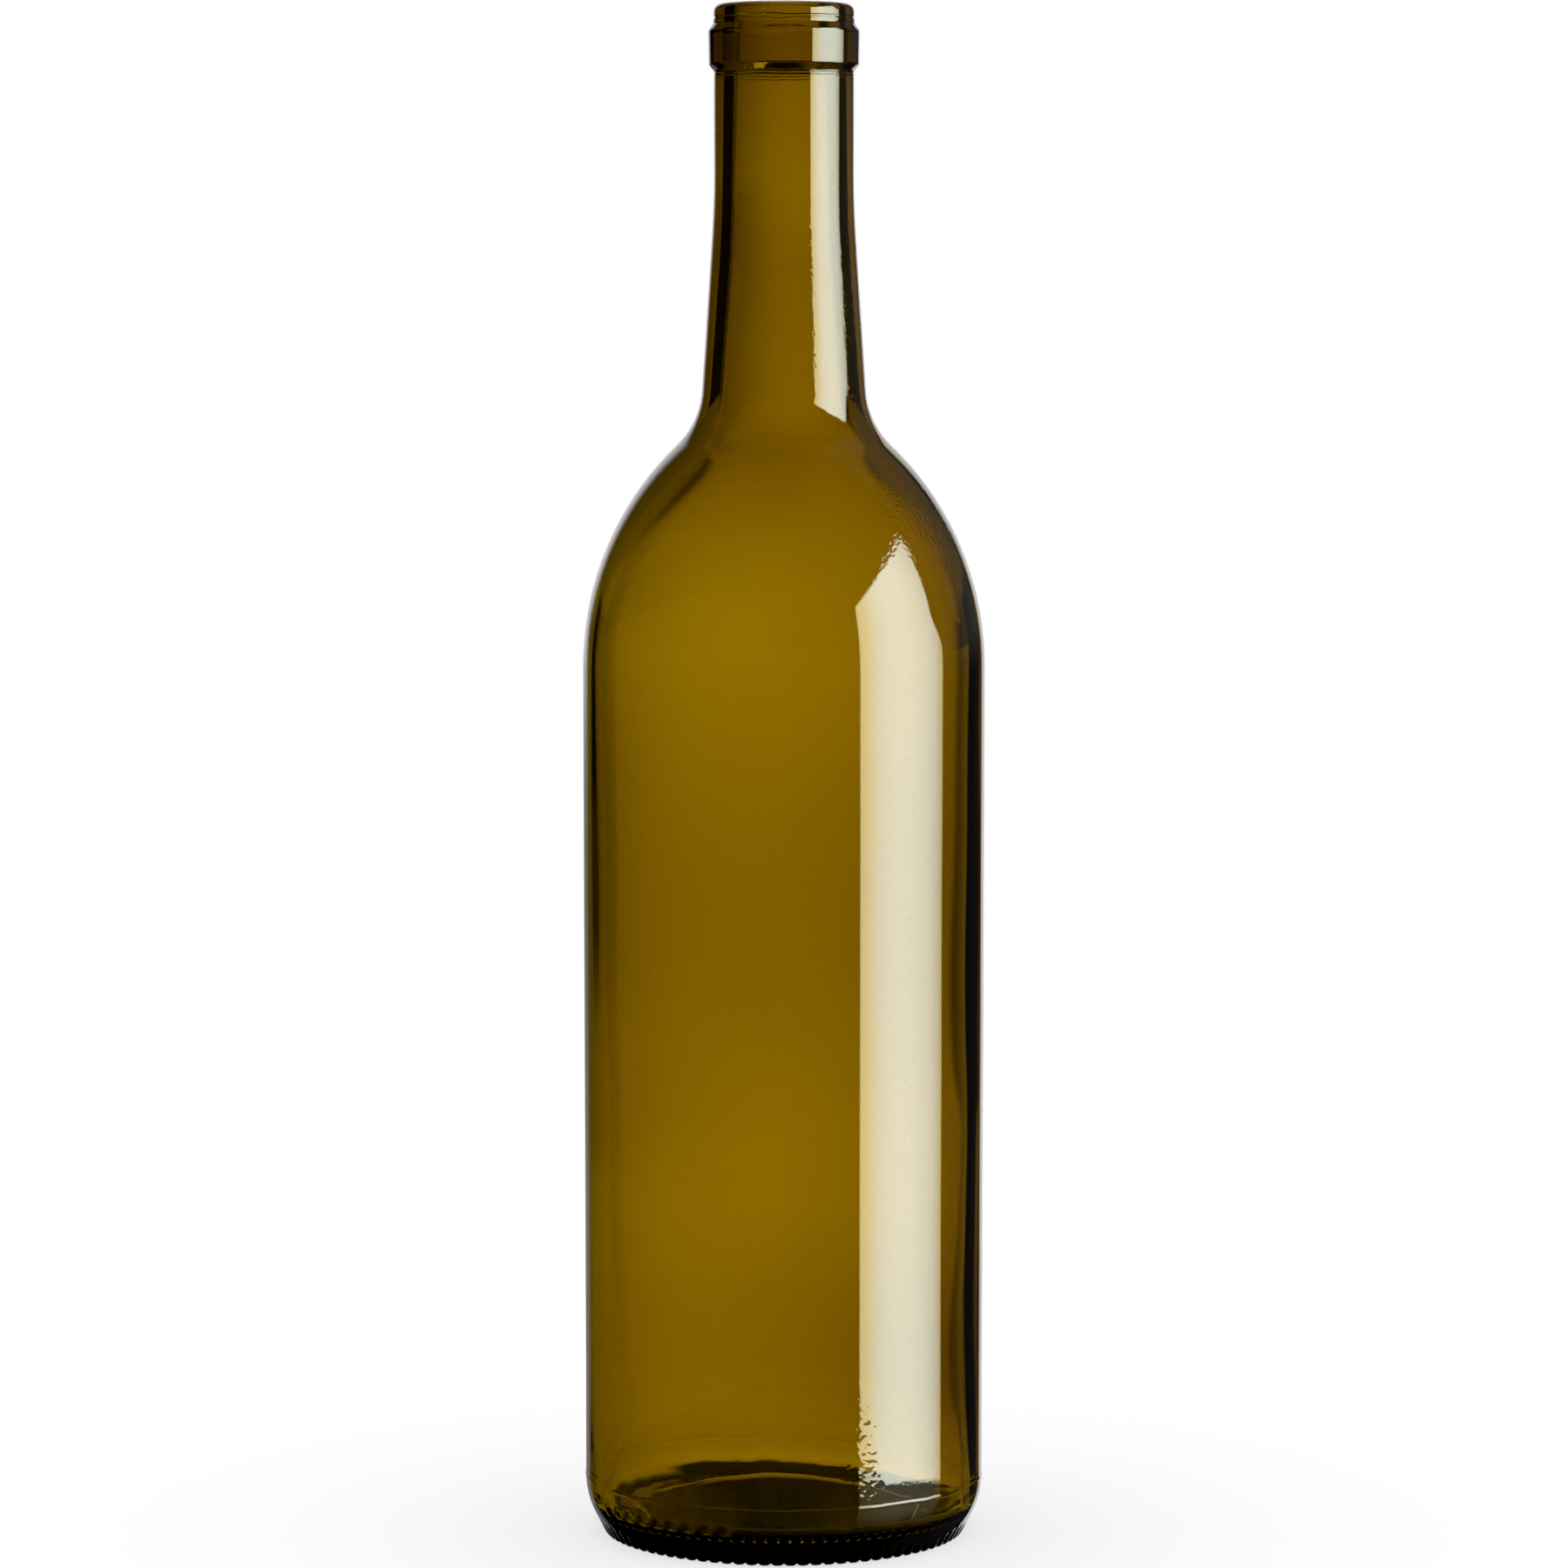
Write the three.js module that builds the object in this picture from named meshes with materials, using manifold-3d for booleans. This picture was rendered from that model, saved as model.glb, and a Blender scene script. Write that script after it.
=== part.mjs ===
// A claret (Bordeaux) wine bottle for 750 ml, in dark olive glass, with a ring finish for a cork.
// Millimetres, +Z up. The origin is on the axis, in the plane that the bottle stands on.
//
// The bottle is one piece of moulded glass with no cork, capsule or label. The glass is divided
// here where its moulds part and where its wall changes shape, from the top down: lip, collar,
// neck, shoulder, body, heel and base. Neighbours meet face to face on level planes, so together
// they are the whole bottle, open at the mouth.

import * as THREE from "three";
import { mergeVertices } from "three/addons/utils/BufferGeometryUtils.js";
import Module from "manifold-3d";

const wasm = await Module();
wasm.setup();

// Whole bottle: the upright wall takes the height that the other zones leave
const bottleHeight = 292;
const bodyDiameter = 76.8; // at the shoulder
const bodyDraft = 0.25; // the foot of the upright wall lies this much further in

// Bore for the cork
const mouthBore = 18.6;
const mouthRound = 0.8;
const boreSpread = 0.9; // the bore is this much wider on the radius where the cork ends
const boreDepth = 45;

// Lip and collar, from the top down
const lipWall = 4;
const lipSpread = 0.15; // the lip's foot is this much wider on the radius
const lipHeight = 3.8;
const lipRound = 1.5;
const lipSeamRise = 0.8; // the moulds part this far above the lip's foot
const collarProud = 1.05; // how far the collar stands out from the lip
const collarBevelHeight = 1.3;
const collarHeight = 6.4;
const collarDraft = 0.1; // the foot of the collar lies this much further in
const collarRound = 0.7;
const collarUndercut = 1.2; // height of the cone from the collar's foot to the neck
const collarSeamDrop = 0.6; // the moulds part this far below that cone

// Neck: upright under the collar, then a slow cone down to the shoulder
const neckWall = 4; // at the collar
const neckRootWall = 3.3;
const neckUprightHeight = 24.7;
const neckConeHeight = 41.6;
const neckConeAngle = 3.8; // degrees from upright
const neckConeRound = 180;
const neckRootRound = 15.5;

// Shoulder
const shoulderAngle = 46; // degrees from upright where it meets the neck's root
const shoulderRound = 58;
const shoulderWall = 3.2;

// Body and heel
const bodyWall = 3.1;
const heelHeight = 11.2; // the moulds of the body and the bottom part here
const heelAngle = 27; // degrees from upright
const heelInset = 3.7; // from the body's foot in to the edge of the bearing ring
const heelRound = 15;

// Base
const bearingWidth = 4.2; // of the ring that the bottle stands on
const bearingRound = 0.8;
const footWall = 4.6; // from that ring's plane up to the lowest part of the floor inside
const baseRim = 1.8; // the base reaches this far above the lowest part of the floor
const innerCornerRound = 7;
const pushUp = 5; // rise of the underside in the middle
const floorWall = 4.8; // glass in the middle of the floor

// Knurls: short radial grooves across the bearing ring
const knurlCount = 88;
const knurlDepth = 0.45;
const knurlWidth = 1.5;

// Smoothness of the round shapes
const sides = 44;
const flatness = 0.06; // how far a flat may lie from its true arc in the outline
const domeSteps = 5;
const sliver = 0.02; // points of the outline this near to a cut are left out

const glass = new THREE.MeshStandardMaterial({
  color: 0x6b5200,
  roughness: 0.05,
  metalness: 0,
  transparent: true,
  opacity: 0.6,
});

const radians = THREE.MathUtils.degToRad;
const point = (r, z) => new THREE.Vector2(r, z);
const leaning = (degrees) => point(-Math.sin(radians(degrees)), Math.cos(radians(degrees)));

// Where the line through a along u crosses the line through b along v.
function crossing(a, u, b, v) {
  const t = b.clone().sub(a).cross(v) / u.cross(v);
  return a.clone().addScaledVector(u, t);
}

// A path through corners [r, z, round], with each round an arc that meets both sides of its
// corner. Where two rounds don't fit on the side between them, both shrink.
function roundedPath(corners) {
  const at = corners.map(([r, z]) => point(r, z));
  const bends = corners.map(([, , round = 0], i) => {
    if (!round) return { reach: 0 };
    const back = at[i - 1].clone().sub(at[i]).normalize();
    const on = at[i + 1].clone().sub(at[i]).normalize();
    const turn = Math.PI - Math.acos(back.dot(on));
    return { back, on, turn, reach: round * Math.tan(turn / 2) };
  });
  for (let i = 1; i < at.length; i += 1) {
    const wanted = bends[i - 1].reach + bends[i].reach;
    const share = Math.min(1, at[i].distanceTo(at[i - 1]) / wanted);
    bends[i - 1].reach *= share;
    bends[i].reach *= share;
  }
  return bends.flatMap((bend, i) => (bend.reach ? arc(at[i], bend) : [at[i]]));
}

// The arc that cuts a corner, from reach before it to reach after it.
function arc(corner, { back, on, turn, reach }) {
  const radius = reach / Math.tan(turn / 2);
  const middle = back.clone().add(on).normalize();
  const centre = corner.clone().addScaledVector(middle, Math.hypot(reach, radius));
  const spoke = corner.clone().addScaledVector(back, reach).sub(centre);
  const way = -Math.sign(back.cross(on));
  const step = 2 * Math.acos(1 - Math.min(1, flatness / radius));
  const steps = Math.ceil(turn / step);
  const origin = point(0, 0);
  return Array.from({ length: steps + 1 }, (_, k) =>
    spoke.clone().rotateAround(origin, (way * turn * k) / steps).add(centre),
  );
}

// A shallow dome from its edge to the axis, as part of a circle.
function dome(edgeRadius, edgeZ, topZ) {
  const rise = topZ - edgeZ;
  const radius = (edgeRadius ** 2 + rise ** 2) / (2 * rise);
  const half = Math.asin(edgeRadius / radius);
  return Array.from({ length: domeSteps + 1 }, (_, k) => {
    const angle = half * (1 - k / domeSteps);
    return point(Math.abs(radius * Math.sin(angle)), topZ - radius * (1 - Math.cos(angle)));
  });
}

// The point of a rising path at a height.
function pointAt(path, height) {
  const next = path.findIndex((p) => p.y > height);
  const low = path[next - 1];
  const high = path[next];
  return low.clone().lerp(high, (height - low.y) / (high.y - low.y)).setY(height);
}

// The part of a rising path below a height, or above it, cut exactly there.
function below(path, height) {
  return [...path.filter((p) => p.y < height - sliver), pointAt(path, height)];
}

function above(path, height) {
  return [pointAt(path, height), ...path.filter((p) => p.y > height + sliver)];
}

// Heights and radii of the outside
const mouthRadius = mouthBore / 2;
const lipRadius = mouthRadius + lipWall;
const collarRadius = lipRadius + collarProud;
const neckRadius = mouthRadius + neckWall;
const bodyRadius = bodyDiameter / 2;
const bodyFootRadius = bodyRadius - bodyDraft;
const bearingRadius = bodyFootRadius - heelInset;

const lipFoot = bottleHeight - lipHeight;
const collarTop = lipFoot - collarBevelHeight;
const collarFoot = collarTop - collarHeight;
const neckTop = collarFoot - collarUndercut;
const coneTop = neckTop - neckUprightHeight;

const shoulderSlope = leaning(shoulderAngle);
const shoulderReach = shoulderRound * Math.tan(radians(shoulderAngle) / 2);
const neckSpread = neckConeHeight * Math.tan(radians(neckConeAngle));
const neckRoot = point(neckRadius + neckSpread, coneTop - neckConeHeight);
const shoulderCorner = crossing(neckRoot, shoulderSlope, point(bodyRadius, 0), leaning(0));
const heelCorner = point(bodyFootRadius, heelInset / Math.tan(radians(heelAngle)));

// Levels where the glass is divided
const lipSeam = lipFoot + lipSeamRise;
const collarSeam = neckTop - collarSeamDrop;
const neckFoot = neckRoot.y + neckRootRound * Math.tan(radians(shoulderAngle - neckConeAngle) / 2);
const shoulderFoot = shoulderCorner.y - shoulderReach;
const baseTop = footWall + baseRim;

// The outside, from the inner edge of the bearing ring up to the inner edge of the lip's top
const outside = roundedPath([
  [bearingRadius - bearingWidth, 0],
  [bearingRadius, 0, bearingRound],
  [heelCorner.x, heelCorner.y, heelRound],
  [shoulderCorner.x, shoulderCorner.y, shoulderRound],
  [neckRoot.x, neckRoot.y, neckRootRound],
  [neckRadius, coneTop, neckConeRound],
  [neckRadius, neckTop],
  [collarRadius - collarDraft, collarFoot, collarRound],
  [collarRadius, collarTop, collarRound],
  [lipRadius + lipSpread, lipFoot],
  [lipRadius, bottleHeight, lipRound],
  [mouthRadius + mouthRound, bottleHeight],
]);

// The inside, from the lowest ring of the floor up to the mouth
const innerFootRadius = bodyFootRadius - bodyWall;
const innerFloorRadius = innerFootRadius - innerCornerRound;
const boreFoot = point(mouthRadius + boreSpread, bottleHeight - boreDepth);
const innerNeckFoot = point(pointAt(outside, neckFoot).x - neckRootWall, neckFoot);
const innerSlopeStart = shoulderCorner.clone().addScaledVector(leaning(shoulderAngle + 90), shoulderWall);
const innerNeckLine = boreFoot.clone().sub(innerNeckFoot);
const innerRoot = crossing(innerSlopeStart, shoulderSlope, innerNeckFoot, innerNeckLine);
const innerShoulder = crossing(innerSlopeStart, shoulderSlope, point(bodyRadius - bodyWall, 0), leaning(0));

const inside = roundedPath([
  [innerFloorRadius, footWall],
  [innerFootRadius, footWall, innerCornerRound],
  [innerShoulder.x, innerShoulder.y, shoulderRound - shoulderWall],
  [innerRoot.x, innerRoot.y, neckRootRound + neckRootWall],
  [boreFoot.x, boreFoot.y, neckConeRound],
  [mouthRadius, bottleHeight - mouthRound],
  [mouthRadius + mouthRound, bottleHeight],
]);

// Turns a closed outline about the upright axis.
function turned(outline) {
  return new THREE.LatheGeometry(outline, sides).rotateX(Math.PI / 2);
}

// A zone of the glass between an outer path and an inner one, both rising.
function zone(outer, inner) {
  const outline = [...outer, ...inner.reverse()];
  return turned([...outline, outline[0].clone()]);
}

function wallBetween(low, high) {
  return zone(below(above(outside, low), high), below(above(inside, low), high));
}

function lipGeometry() {
  return zone(above(outside, lipSeam), above(inside, lipSeam).slice(0, -1));
}

function solid(geometry) {
  const bare = geometry.clone();
  bare.deleteAttribute("normal");
  bare.deleteAttribute("uv");
  const merged = mergeVertices(bare);
  return new wasm.Manifold(
    new wasm.Mesh({
      numProp: 3,
      vertProperties: merged.attributes.position.array,
      triVerts: new Uint32Array(merged.index.array),
    }),
  );
}

function geometryOf(made) {
  const { vertProperties, triVerts } = made.getMesh();
  const indexed = new THREE.BufferGeometry();
  indexed.setAttribute("position", new THREE.BufferAttribute(vertProperties, 3));
  indexed.setIndex(new THREE.BufferAttribute(triVerts, 1));
  const flat = indexed.toNonIndexed();
  flat.computeVertexNormals();
  return flat;
}

// One groove between two knurls: a notch right across the bearing ring, pointed at its top.
function knurlGroove(angle) {
  const notch = new THREE.Shape([
    point(-knurlWidth, -knurlDepth),
    point(knurlWidth, -knurlDepth),
    point(0, knurlDepth),
  ]);
  return new THREE.ExtrudeGeometry(notch, { depth: bearingWidth + 2 * bearingRound, bevelEnabled: false })
    .rotateX(Math.PI / 2)
    .translate(0, bearingRadius + bearingRound, 0)
    .rotateZ(angle);
}

// The base: the foot of the heel, the knurled bearing ring and the pushed-up bottom.
function baseGeometry() {
  const under = dome(bearingRadius - bearingWidth, 0, pushUp).reverse();
  const outer = below(outside, baseTop).slice(1);
  const inner = below(inside, baseTop).reverse().slice(0, -1);
  const floor = dome(innerFloorRadius, footWall, pushUp + floorWall);
  const whole = solid(turned([...under, ...outer, ...inner, ...floor]));
  const pitch = (2 * Math.PI) / knurlCount;
  const grooves = Array.from({ length: knurlCount }, (_, k) => solid(knurlGroove((k + 0.5) * pitch)));
  return geometryOf(grooves.reduce((left, groove) => left.subtract(groove), whole));
}

const bottle = new THREE.Group();

function add(name, geometry) {
  const mesh = new THREE.Mesh(geometry, glass.clone());
  mesh.name = name;
  bottle.add(mesh);
}

add("base", baseGeometry());
add("heel", wallBetween(baseTop, heelHeight));
add("body", wallBetween(heelHeight, shoulderFoot));
add("shoulder", wallBetween(shoulderFoot, neckFoot));
add("neck", wallBetween(neckFoot, collarSeam));
add("collar", wallBetween(collarSeam, lipSeam));
add("lip", lipGeometry());

export default bottle;
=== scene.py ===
import math

import bmesh
import bpy
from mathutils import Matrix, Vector


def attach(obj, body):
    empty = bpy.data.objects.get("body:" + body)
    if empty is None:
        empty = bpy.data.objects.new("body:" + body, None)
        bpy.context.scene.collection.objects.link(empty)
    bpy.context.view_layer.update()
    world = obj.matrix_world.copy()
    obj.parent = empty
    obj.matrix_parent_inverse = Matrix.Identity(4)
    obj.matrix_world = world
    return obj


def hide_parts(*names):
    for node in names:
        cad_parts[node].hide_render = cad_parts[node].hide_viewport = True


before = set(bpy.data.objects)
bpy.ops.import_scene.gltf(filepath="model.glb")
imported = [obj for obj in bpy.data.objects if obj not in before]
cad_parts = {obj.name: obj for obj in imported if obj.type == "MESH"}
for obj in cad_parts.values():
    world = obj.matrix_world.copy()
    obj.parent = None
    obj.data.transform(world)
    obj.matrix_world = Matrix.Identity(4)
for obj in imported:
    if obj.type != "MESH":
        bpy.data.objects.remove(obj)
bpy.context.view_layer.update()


# Camera: it stands a good metre in front of the bottle, at four fifths of its height, and looks
# slightly down, with a long lens that the bottle fills from top to bottom.
camera_distance = 1.0909
camera_height = 0.2365
camera_drop = 4.842  # degrees below level
film_width = 36  # millimetres, like the lens's length
lens_length = 131.58

bpy.ops.object.camera_add(
    location=(0, -camera_distance, camera_height),
    rotation=(math.radians(90 - camera_drop), 0, 0),
)
camera = bpy.context.object
camera.name = "camera"
camera.data.sensor_width = film_width
camera.data.lens = lens_length
bpy.context.scene.camera = camera


# Bottle: one piece of olive glass, blown in a mould. It is one unbroken skin here, from the middle
# of the underside up the outside, over the lip and down the inside to the floor. The outside is as
# true as the mould. The inside was shaped by air alone, so its wall varies and is thicker on the right.
millimetre = 0.001  # all sizes of the bottle are in millimetres, from its axis and from its foot
columns = 440  # upright lines of the skin, five to each knurl
middle_ring = 1.6  # radius of the small rings that close the underside and the floor
dense_height = 12  # the outline's points lie close together below this height, for the heel's relief
dense_step = 0.6
wall_step = 10
tight_round = 3  # a round up to this radius is tight
margin = 0.12  # from a tight round or a line of the mould to the points beside it
tiny = 0.01  # less than this between two points doesn't count

bottle_height = 292
mouth_radius = 9.3
mouth_round = 0.8
lip_radius = 13.3
lip_round = 1.5
lip_foot = 288.2
collar_radius = 14.35
collar_round = 0.7
collar_top = 286.9
collar_foot = 280.5
neck_top = 279.3
neck_radius = 13.3
neck_cone_top = 254.6
neck_cone_round = 180
neck_root = Vector((16.063, 213))
neck_root_round = 15.5
neck_root_wall = 3.3
neck_foot = 218.98
bore_foot = Vector((10.2, 247))
shoulder_angle = 46  # degrees from upright
shoulder_round = 58
shoulder_wall = 3.2
body_radius = 38.4
body_wall = 3.1
foot_radius = 38.15  # of the upright wall
foot_spread = 0.006  # how much wider the wall is at dense_height
heel_height = 7.262
heel_round = 15
bearing_radius = 34.45
bearing_width = 4.2
bearing_round = 0.8
push_up = 5
floor_height = 4.6
floor_middle = 9.8
floor_radius = 28.05
floor_round = 3
inside_shift = -0.8  # sideways, of the inside of the body, at the most


def leaning(degrees):
    """The way up that leans inwards by an angle, as a step in radius and height."""
    return Vector((-math.sin(math.radians(degrees)), math.cos(math.radians(degrees))))


def crossing(a, u, b, v):
    """Where the line through a along u meets the line through b along v."""
    across = b - a
    return a + u * ((across.x * v.y - across.y * v.x) / (u.x * v.y - u.y * v.x))


def rounded(corners):
    """A path through corners (radius, height, round, steps), each round an arc in that many steps.

    A tight round has a point just before it and one just after it, so that the smooth shading of
    the round stays off the faces beside it.
    """
    at = [Vector(corner[:2]) for corner in corners]
    turns = [0.0] * len(at)
    reaches = [0.0] * len(at)
    for i, corner in enumerate(corners):
        if len(corner) > 2:
            turns[i] = math.pi - (at[i - 1] - at[i]).angle(at[i + 1] - at[i])
            reaches[i] = corner[2] * math.tan(turns[i] / 2)
    for i in range(1, len(at)):
        wanted = reaches[i - 1] + reaches[i]
        share = min(1, (at[i] - at[i - 1]).length / wanted) if wanted else 1
        reaches[i - 1] *= share
        reaches[i] *= share
    path = []
    for i, corner in enumerate(corners):
        if not reaches[i]:
            path.append(at[i])
            continue
        back = (at[i - 1] - at[i]).normalized() * reaches[i]
        on = (at[i + 1] - at[i]).normalized() * reaches[i]
        radius = reaches[i] / math.tan(turns[i] / 2)
        middle = (back + on).normalized() * math.hypot(reaches[i], radius)
        tight = corner[2] <= tight_round
        if tight:
            path.append(at[i] + back * (1 + margin / reaches[i]))
        for k in range(corner[3] + 1):
            part = turns[i] * k / corner[3]
            spoke = (back - middle) * math.sin(turns[i] - part) + (on - middle) * math.sin(part)
            path.append(at[i] + middle + spoke / math.sin(turns[i]))
        if tight:
            path.append(at[i] + on * (1 + margin / reaches[i]))
    return path


def stepped(path, longest):
    """The same path, with points put in where two are further apart than longest says."""
    dense = [path[0]]
    for point in path[1:]:
        last = dense[-1]
        gap = (point - last).length
        if gap > tiny:
            parts = max(1, math.ceil(gap / longest(last.y) - tiny))
            dense += [last.lerp(point, (k + 1) / parts) for k in range(parts)]
    return dense


def dome(edge, middle_height, steps):
    """A shallow dome from its edge in to the small ring round its middle."""
    rise = middle_height - edge.y
    radius = (edge.x**2 + rise**2) / (2 * rise)
    widths = [edge.x + (middle_ring - edge.x) * k / steps for k in range(steps + 1)]
    return [Vector((w, middle_height - radius + math.sqrt(radius**2 - w**2))) for w in widths]


shoulder_slope = leaning(shoulder_angle)
upright = leaning(0)
shoulder = crossing(neck_root, shoulder_slope, Vector((body_radius, 0)), upright)
slope_inside = shoulder + leaning(shoulder_angle + 90) * shoulder_wall
cone = (Vector((neck_radius, neck_cone_top)) - neck_root).normalized()
neck_inside = crossing(neck_root, cone, Vector((0, neck_foot)), Vector((1, 0)))
neck_inside.x -= neck_root_wall
root_inside = crossing(slope_inside, shoulder_slope, neck_inside, bore_foot - neck_inside)
shoulder_inside = crossing(slope_inside, shoulder_slope, Vector((body_radius - body_wall, 0)), upright)

skin = rounded(
    [
        (bearing_radius - bearing_width, 0),
        (bearing_radius, 0, bearing_round, 4),
        (foot_radius, heel_height, heel_round, 8),
        (foot_radius + foot_spread, dense_height),
        (*shoulder, shoulder_round, 18),
        (*neck_root, neck_root_round, 10),
        (neck_radius, neck_cone_top, neck_cone_round, 3),
        (neck_radius, neck_top, 0.35, 3),
        (collar_radius - 0.1, collar_foot, collar_round, 4),
        (collar_radius, collar_top, collar_round, 4),
        (lip_radius + 0.15, lip_foot, 0.4, 3),
        (lip_radius, bottle_height, lip_round, 7),
        (mouth_radius, bottle_height, mouth_round, 5),
        (*bore_foot, neck_cone_round, 3),
        (*root_inside, neck_root_round + neck_root_wall, 7),
        (*shoulder_inside, shoulder_round - shoulder_wall, 12),
        (foot_radius - body_wall, floor_height, floor_round, 5),
        (floor_radius, floor_height),
    ]
)
top = max(i for i, point in enumerate(skin) if point.y > bottle_height - tiny)
outside = stepped(skin[: top + 1], lambda height: dense_step if height < dense_height - tiny else wall_step)
inside = stepped(skin[top:], lambda height: wall_step)[1:]

# Where the parts of the mould meet, the glass has a fine line: (height, half its width, how proud)
seams = [
    (6.2, 0.3, 0.03),
    (11.2, 0.35, 0.1),
    (278.25, 0.14, -0.07),
    (278.85, 0.14, -0.1),
    (289.3, 0.25, -0.2),
]


def seamed(path, height, half, proud):
    """The path with a line in relief put into it at a height."""
    next_point = next(i for i, point in enumerate(path) if point.y > height)
    low, high = path[next_point - 1], path[next_point]
    lean = (high.x - low.x) / (high.y - low.y)
    wide = half + margin
    line = [
        Vector((low.x + lean * (height + step - low.y) + out, height + step))
        for step, out in ((-wide, 0), (-half, 0), (0, proud), (half, 0), (wide, 0))
    ]
    return (
        [point for point in path[:next_point] if point.y < height - wide]
        + line
        + [point for point in path[next_point:] if point.y > height + wide]
    )


for height, half, proud in seams:
    outside = seamed(outside, height, half, proud)

# Bulges of the inside: (height, half their height, how much thicker the wall is there)
bulges = [(232, 16, 0.12), (209, 13, 0.3), (178, 24, -0.35), (113, 30, 0.28), (62, 14, -0.1), (34, 18, 0.55)]


def eased(value, low, high):
    """0 below low and 1 above high, with a soft slope between."""
    part = min(1, max(0, (value - low) / (high - low)))
    return part * part * (3 - 2 * part)


def bulged(point):
    """A point of the inside, moved by the bulges."""
    height = point.y
    thicker = sum(much * math.exp(-(((height - at) / half) ** 2)) for at, half, much in bulges)
    thicker *= eased(height, 9, 24) * (1 - eased(height, 270, 285))
    return Vector((point.x - thicker, height))


underside = dome(skin[0], push_up, 6)
underside.insert(1, skin[0].lerp(underside[1], 0.2))
section = [*reversed(underside), *outside[1:], *[bulged(point) for point in inside[:-1]]]
section += dome(inside[-1], floor_middle, 5)
section = [Vector((0, -r, z)) * millimetre for r, z in section]

bpy.ops.object.select_all(action="DESELECT")
bpy.ops.mesh.primitive_plane_add(size=millimetre)
bottle = bpy.context.object
bottle.name = "glass_bottle"
bpy.ops.object.mode_set(mode="EDIT")
bpy.ops.mesh.merge(type="CENTER")
bpy.ops.transform.translate(value=section[0])
for last, point in zip(section, section[1:]):
    bpy.ops.mesh.extrude_region_move(TRANSFORM_OT_translate={"value": point - last})
bpy.ops.mesh.select_all(action="SELECT")
bpy.ops.mesh.spin(steps=columns, angle=math.tau, center=(0, 0, 0), axis=(0, 0, 1))
bpy.ops.mesh.select_all(action="SELECT")
bpy.ops.mesh.remove_doubles(threshold=1e-6)
for closes_floor in (True, False):
    bpy.ops.mesh.select_all(action="DESELECT")
    mesh = bmesh.from_edit_mesh(bottle.data)
    for edge in mesh.edges:
        above_push_up = edge.verts[0].co.z > (push_up + floor_middle) / 2 * millimetre
        edge.select = edge.is_boundary and above_push_up == closes_floor
    bmesh.update_edit_mesh(bottle.data)
    bpy.ops.mesh.edge_face_add()
    bpy.ops.mesh.poke()
bpy.ops.mesh.select_all(action="SELECT")
bpy.ops.mesh.normals_make_consistent(inside=False)


def pick(test):
    """Selects vertices by their radius, their height and their turn from the front."""
    mesh = bmesh.from_edit_mesh(bottle.data)
    for vertex in mesh.verts:
        x, y, z = vertex.co / millimetre
        vertex.select = test(math.hypot(x, y), z, math.atan2(x, -y) / math.tau)
    mesh.select_flush_mode()
    bmesh.update_edit_mesh(bottle.data)


# Knurls: the gaps between them are pressed in along every fifth line of the bearing ring, and fade
# out up the heel: (from height, to height, depth). The lines beside a gap go down a little, which
# rounds the knurls.
knurl_gaps = [(-0.1, 1.3, 0.43), (1.3, 2.2, 0.28), (2.2, 3.1, 0.12)]
knurl_inner = bearing_radius - bearing_width - 0.9
for low, high, depth in knurl_gaps:
    for lines, share in (((0,), 1), ((1, 4), 0.2)):
        pick(
            lambda radius, height, turn: low <= height < high
            and radius > knurl_inner
            and round(turn * columns) % 5 in lines
        )
        bpy.ops.transform.shrink_fatten(value=-depth * share * millimetre)

# Dots: a plain row of small raised ones on the left of the heel, as moulds leave there
dot_count = 9
dot_radius = 1.05
dot_rise = 0.4
dot_height = 7
dot_ring = 37.9  # the heel's radius at the dots
first_dot = -62  # degrees round from the front, to the left
dot_step = 5.6
for k in range(dot_count):
    around = math.radians(first_dot + dot_step * k)
    spot = Vector((math.sin(around), -math.cos(around), 0))
    place = (spot * dot_ring + Vector((0, 0, dot_height))) * millimetre
    mesh = bmesh.from_edit_mesh(bottle.data)
    nearest = min(mesh.verts, key=lambda v: (v.co - place).length_squared)
    bpy.ops.mesh.select_all(action="DESELECT")
    nearest.select = True
    mesh.select_flush_mode()
    raised = nearest.normal * dot_rise * millimetre
    bmesh.update_edit_mesh(bottle.data)
    bpy.ops.transform.translate(
        value=raised,
        use_proportional_edit=True,
        proportional_edit_falloff="SPHERE",
        proportional_size=dot_radius * millimetre,
    )

bpy.ops.object.mode_set(mode="OBJECT")
bpy.ops.object.shade_smooth()


def displace(name, share, much, direction="NORMAL", cloud_size=0, middle=0.0):
    """Moves the glass by so much, in clouds or all alike, times a share.

    The share comes from the height, and from whether the glass there is on the outer side.
    """
    group = bottle.vertex_groups.new(name=name)
    for vertex in bottle.data.vertices:
        x, y, height = vertex.co / millimetre
        weight = share(height, vertex.normal.x * x + vertex.normal.y * y > 0)
        if weight:
            group.add([vertex.index], weight, "REPLACE")
    move = bottle.modifiers.new(name, "DISPLACE")
    move.vertex_group = name
    move.direction = direction
    move.strength = much * millimetre
    move.mid_level = middle
    if cloud_size:
        move.texture = bpy.data.textures.new(name, "CLOUDS")
        move.texture.noise_scale = cloud_size * millimetre
        move.texture.noise_depth = 1
        move.texture_coords = "LOCAL"
    bpy.ops.object.modifier_apply(modifier=name)


def near_seam(height, outer):
    """1 on each line of the mould but the lowest, which stays level, and 0 a little way off."""
    fade = 1.2
    return outer * max(1 - eased(abs(height - seam), half, half + fade) for seam, half, proud in seams[1:])


def sideways(height, outer):
    """How far the inside stands off the middle: most at the foot, and little at a third of the height."""
    share = 0.6 + 0.4 * (1 - eased(height, 30, 62)) - 0.25 * math.exp(-(((height - 82) / 11) ** 2))
    return (not outer) * share * eased(height, 9, 30) * (1 - eased(height, 165, 212))


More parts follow.
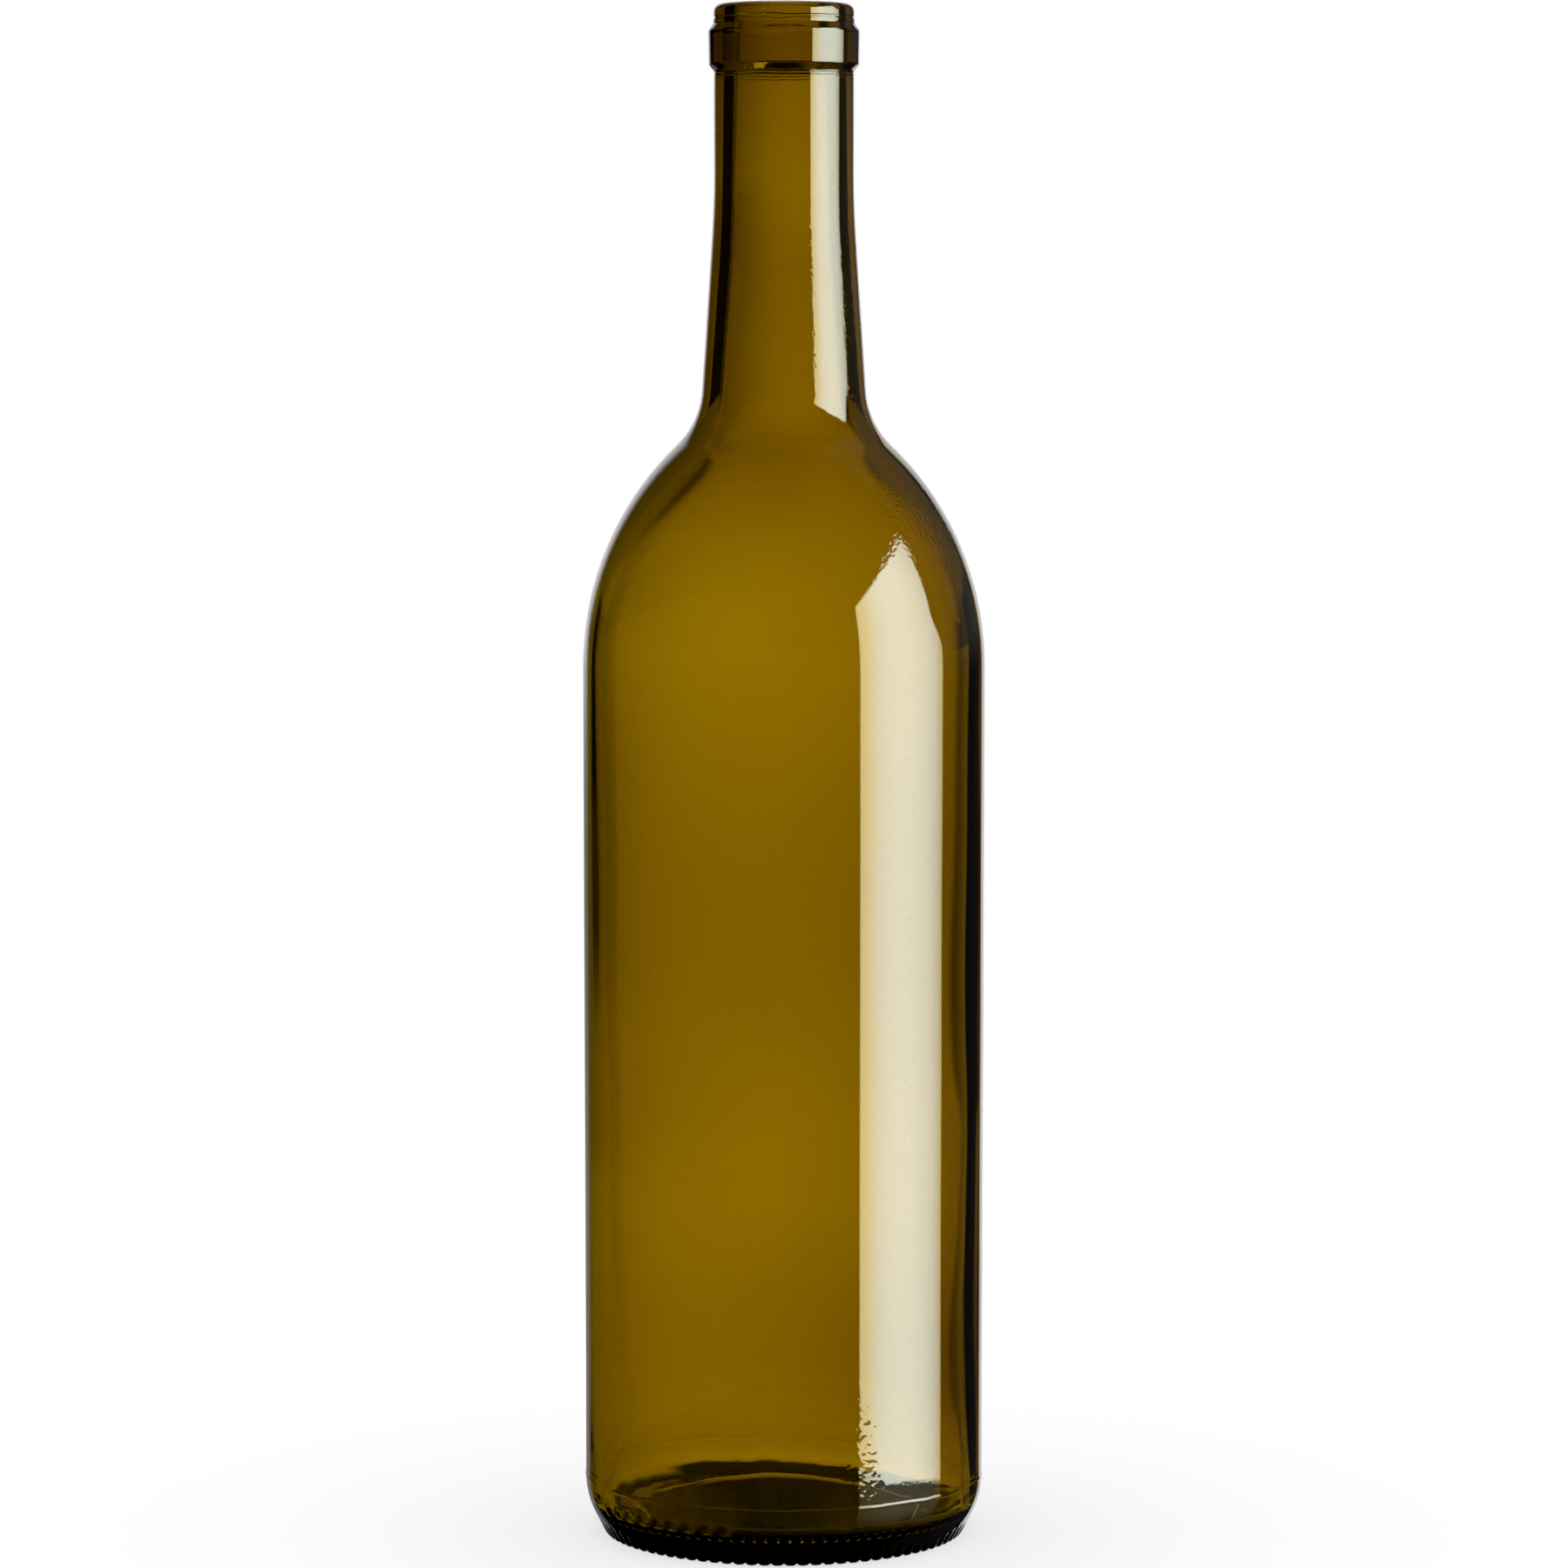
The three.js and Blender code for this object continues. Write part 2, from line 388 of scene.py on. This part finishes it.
# The lines of the mould waver up and down. The outside has the mould's faint waves. The inside has
# the deeper ones of blown glass, with smaller ones where it settled into the corner of the floor.
displace("wavering_seams", near_seam, 0.5, direction="Z", cloud_size=5, middle=0.5)
displace("lip_waves", lambda height, outer: outer * eased(height, 288, 289), 0.06, cloud_size=4, middle=1)
displace(
    "mould_waves",
    lambda height, outer: outer * eased(height, 14, 30) * (1 - eased(height, 255, 275)),
    0.1,
    cloud_size=40,
    middle=1,
)
displace(
    "blown_waves",
    lambda height, outer: (not outer) * eased(height, 14, 34) * (1 - eased(height, 225, 250)),
    0.3,
    cloud_size=30,
    middle=0.5,
)
displace(
    "settled_waves",
    lambda height, outer: (not outer) * eased(height, 4, 7) * (1 - eased(height, 12, 24)),
    0.4,
    cloud_size=7,
    middle=0.5,
)
displace("off_middle", sideways, inside_shift, direction="X")


class Wire:
    """A socket of a shader node, so that shader maths reads as plain sums."""

    def __init__(self, tree, socket=None):
        self.tree = tree
        self.socket = socket

    def node(self, kind, settings, sockets, output=0):
        """A new node with its settings, and with values or links in its sockets."""
        made = self.tree.nodes.new(kind)
        for name, value in settings.items():
            setattr(made, name, value)
        for name, value in sockets.items():
            if isinstance(value, Wire):
                self.tree.links.new(value.socket, made.inputs[name])
            else:
                made.inputs[name].default_value = value
        return Wire(self.tree, made.outputs[output])

    def outputs(self, kind, sockets, *names):
        """Several outputs of one new node."""
        made = self.node(kind, {}, sockets).socket.node.outputs
        return [Wire(self.tree, made[name]) for name in names]

    def xyz(self):
        return self.outputs("ShaderNodeSeparateXYZ", {0: self}, 0, 1, 2)

    def maths(self, operation, a, b=0.0):
        return self.node("ShaderNodeMath", {"operation": operation}, {0: a, 1: b})

    def __add__(self, other):
        return self.maths("ADD", self, other)

    def __sub__(self, other):
        return self.maths("SUBTRACT", self, other)

    def __rsub__(self, other):
        return self.maths("SUBTRACT", other, self)

    def __mul__(self, other):
        return self.maths("MULTIPLY", self, other)

    __radd__ = __add__
    __rmul__ = __mul__

    def azimuth(self, x, y):
        """Degrees round from straight behind, towards the right."""
        return self.maths("ARCTAN2", x, y) * math.degrees(1)

    def over(self, edge, soft):
        """0 below an edge and 1 above it, with a soft step between."""
        ends = {"Value": self, "From Min": edge - soft, "From Max": edge + soft}
        return self.node("ShaderNodeMapRange", {"interpolation_type": "SMOOTHSTEP"}, ends)

    def within(self, low, high, soft):
        """1 between two edges and 0 outside them."""
        return self.over(low, soft) * (1 - self.over(high, soft))

    def blend(self, share, colour, other):
        return self.node("ShaderNodeMix", {"data_type": "RGBA"}, {0: share, 6: colour, 7: other}, 2)


def fresh(owner):
    """A material's or world's empty node tree, with its output node."""
    owner.use_nodes = True
    owner.node_tree.nodes.clear()
    kind = "ShaderNodeOutputWorld" if isinstance(owner, bpy.types.World) else "ShaderNodeOutputMaterial"
    return Wire(owner.node_tree), owner.node_tree.nodes.new(kind)


# Olive glass: it takes out nearly all blue, and more green than red. The mould left a fine orange
# peel on it. On the front right the peel is coarse on the lower neck and on top of the shoulder,
# and small folds cross the foot of the wall.
glass = bpy.data.materials.new("olive_glass")
wire, output = fresh(glass)
place = wire.node("ShaderNodeTexCoord", {}, {}, "Object")
x, y, z = place.xyz()
coarse = z.within(0.216, 0.25, 0.012) + z.within(0.187, 0.2, 0.006)
coarse *= x.over(0.004, 0.003) * (1 - y.over(-0.003, 0.002))
folded = z.within(0.014, 0.034, 0.006) * x.within(0.011, 0.017, 0.0025) * (1 - y.over(-0.003, 0.002))
grain = wire.node("ShaderNodeTexNoise", {}, {"Vector": place, "Scale": 1300, "Detail": 1})
folds = wire.node("ShaderNodeTexNoise", {}, {"Vector": place, "Scale": 700, "Detail": 1})
relief = grain * (0.04 + 4 * coarse) + folds * folded * 2.5
peel = wire.node("ShaderNodeBump", {}, {"Distance": 1e-5, "Height": relief})
surface = wire.node(
    "ShaderNodeBsdfPrincipled",
    {},
    {
        "Base Color": (1, 0.866, 0.5, 1),
        "Roughness": 0,
        "IOR": 1.52,
        "Transmission Weight": 1,
        "Normal": peel,
    },
)
inner = wire.node("ShaderNodeVolumeAbsorption", {}, {"Color": (0.8218, 0.777, 0.1, 1), "Density": 1200})
glass.node_tree.links.new(surface.socket, output.inputs["Surface"])
glass.node_tree.links.new(inner.socket, output.inputs["Volume"])
bottle.data.materials.append(glass)
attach(bottle, "root")
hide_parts("base", "heel", "body", "shoulder", "neck", "collar", "lip")


# Floor: a plain pale sweep. Near the bottle it is lit paper that keeps the soft shadow, and it
# fades to the white of the room further out. The glass sees it behind the bottle, as the room.
bpy.ops.object.select_all(action="DESELECT")
bpy.ops.mesh.primitive_circle_add(vertices=96, radius=6, fill_type="NGON")
floor = bpy.context.object
floor.name = "floor"
floor.visible_glossy = False
paper = bpy.data.materials.new("white_paper")
wire, output = fresh(paper)
place = wire.node("ShaderNodeTexCoord", {}, {}, "Object")
distance = wire.node("ShaderNodeVectorMath", {"operation": "LENGTH"}, {0: place}, "Value")
x, y, z = place.xyz()
wall = 0.03  # the sides of the bottle see the floor from this far left and right of its middle
around = wire.azimuth(x, y)
left = wire.azimuth(x + wall, y)
right = wire.azimuth(x - wall, y)
left_card = (-66, -28, 2.5)  # degrees round to its two edges, and how soft they are
camera_ray, transmitted = wire.outputs("ShaderNodeLightPath", {}, "Is Camera Ray", "Is Transmission Ray")

# What the glass sees of it: the white sweep with the two dark cards, and a painted shadow round the foot
seen = 1 - left.within(*left_card) * distance.over(0.9, 0.4)
seen *= 1 - (right + 6 * distance.over(0.7, 0.15)).over(23, 2.5) * (1 - right.over(42, 2.5))
seen *= 1 - (0.2 + 0.2 * distance.over(0.9, 0.4)) * (1 - left.over(-5, 10))
white = wire.node("ShaderNodeEmission", {}, {"Strength": 1 - transmitted * (1 - seen)})
# Painted shadow: rays through the glass find the floor black under the bottle and a little way behind it
painted_foot_shadow = transmitted * (1 - (distance - 0.028 * around.within(-25, 45, 8)).over(0.043, 0.006))
painted_shadow_black = wire.node("ShaderNodeEmission", {}, {"Color": (0, 0, 0, 1)})
lit = wire.node("ShaderNodeBsdfDiffuse", {}, {"Color": (0.95, 0.95, 0.95, 1)})
far = camera_ray * (0.65 + 0.35 * distance.over(0.1, 0.06)) + transmitted * distance.over(0.1, 0.04)
mixed = wire.node("ShaderNodeMixShader", {}, {0: far, 1: lit, 2: white})
mixed = wire.node("ShaderNodeMixShader", {}, {0: painted_foot_shadow, 1: mixed, 2: painted_shadow_black})
paper.node_tree.links.new(mixed.socket, output.inputs["Surface"])
floor.data.materials.append(paper)


# Studio: a white room. In reflections it is dark, apart from the white sweep behind the bottle and
# one tall soft box on the right, and dark cards stand on both sides of the sweep.
room = bpy.data.worlds.new("white_room")
bpy.context.scene.world = room
wire, output = fresh(room)
x, y, z = wire.node("ShaderNodeTexCoord", {}, {}, "Generated").xyz()
around = wire.azimuth(x, y)
up = wire.maths("ARCSINE", z) * math.degrees(1)
kinds = ("Is Camera Ray", "Is Glossy Ray", "Is Transmission Ray")
camera_ray, glossy, transmitted = wire.outputs("ShaderNodeLightPath", {}, *kinds)
mirrored = glossy * (1 - transmitted)  # clear glass counts as glossy for light that goes through it too

# What shows through the glass: the sweep, as high as the mouth and a little wider than the bottle
beside = around.within(*left_card) + around.within(19, 60, 2.5)
above = up.over(6, 1.2)
falling = (0.5 - 0.15 * up.over(1.5, 1)) * (1 - around.over(-5, 10))
seen = (1 - falling) * (1 - 0.97 * beside) * (1 - above)
seen += (0.004 + 0.42 * wire.maths("ABSOLUTE", around).over(9, 5)) * above

# What the glass reflects of the room: the sweep, which is dim on the left below the mouth, and a
# faint glow between it and the soft box
left_low = (1 - around.over(-5, 5)) * (1 - up.over(-4, 1.5))
sweep = around.over(-25, 6) * (1 - around.over(22.5, 1.5)) * (1 - 0.75 * left_low)
sweep += around.within(28, 78, 4) * (0.02 + 0.08 * up.over(-1, 3))

# What it reflects of the soft box: its top edge is level and straight, a weak glow hangs below its
# bottom edge, and its cloth is brightest in the middle and warmer at the sides
box_near = 77.2  # degrees round to its sides and to its brightest line
box_far = 136
box_bright = 113
box_bottom = -11.77  # degrees up
box_top = 0.66  # its height over its distance
box_turn = math.radians(81)  # which way it faces
box_light = 13.5
box_ahead = x * math.sin(box_turn) + y * math.cos(box_turn)
box_rise = wire.maths("DIVIDE", z, box_ahead)
softbox = (around - 6 * up.over(7, 5)).over(box_near, 0.6) * (1 - around.over(box_far, 0.6))
softbox *= (box_top - box_rise).over(0, 0.02)
softbox *= 0.06 * up.over(-24, 14) + 0.94 * up.over(box_bottom, 0.03)
off_middle = (around - box_bright) * (1 / 30)
softbox *= box_light - 6 * off_middle * off_middle
cloth = wire.blend(around.over(80.5, 4) * (1 - around.over(128, 9)), (1, 0.9, 0.45, 1), (0.96, 1, 0.83, 1))

# All other rays find plain white
others = 1 - camera_ray - mirrored - transmitted
light = camera_ray + others + transmitted * seen + mirrored * (sweep + softbox)
colour = wire.blend(mirrored * around.over(60, 1), (1, 1, 1, 1), cloth)
sky = wire.node("ShaderNodeBackground", {}, {"Color": colour, "Strength": light})
room.node_tree.links.new(sky.socket, output.inputs["Surface"])

bpy.context.scene.view_settings.view_transform = "Standard"
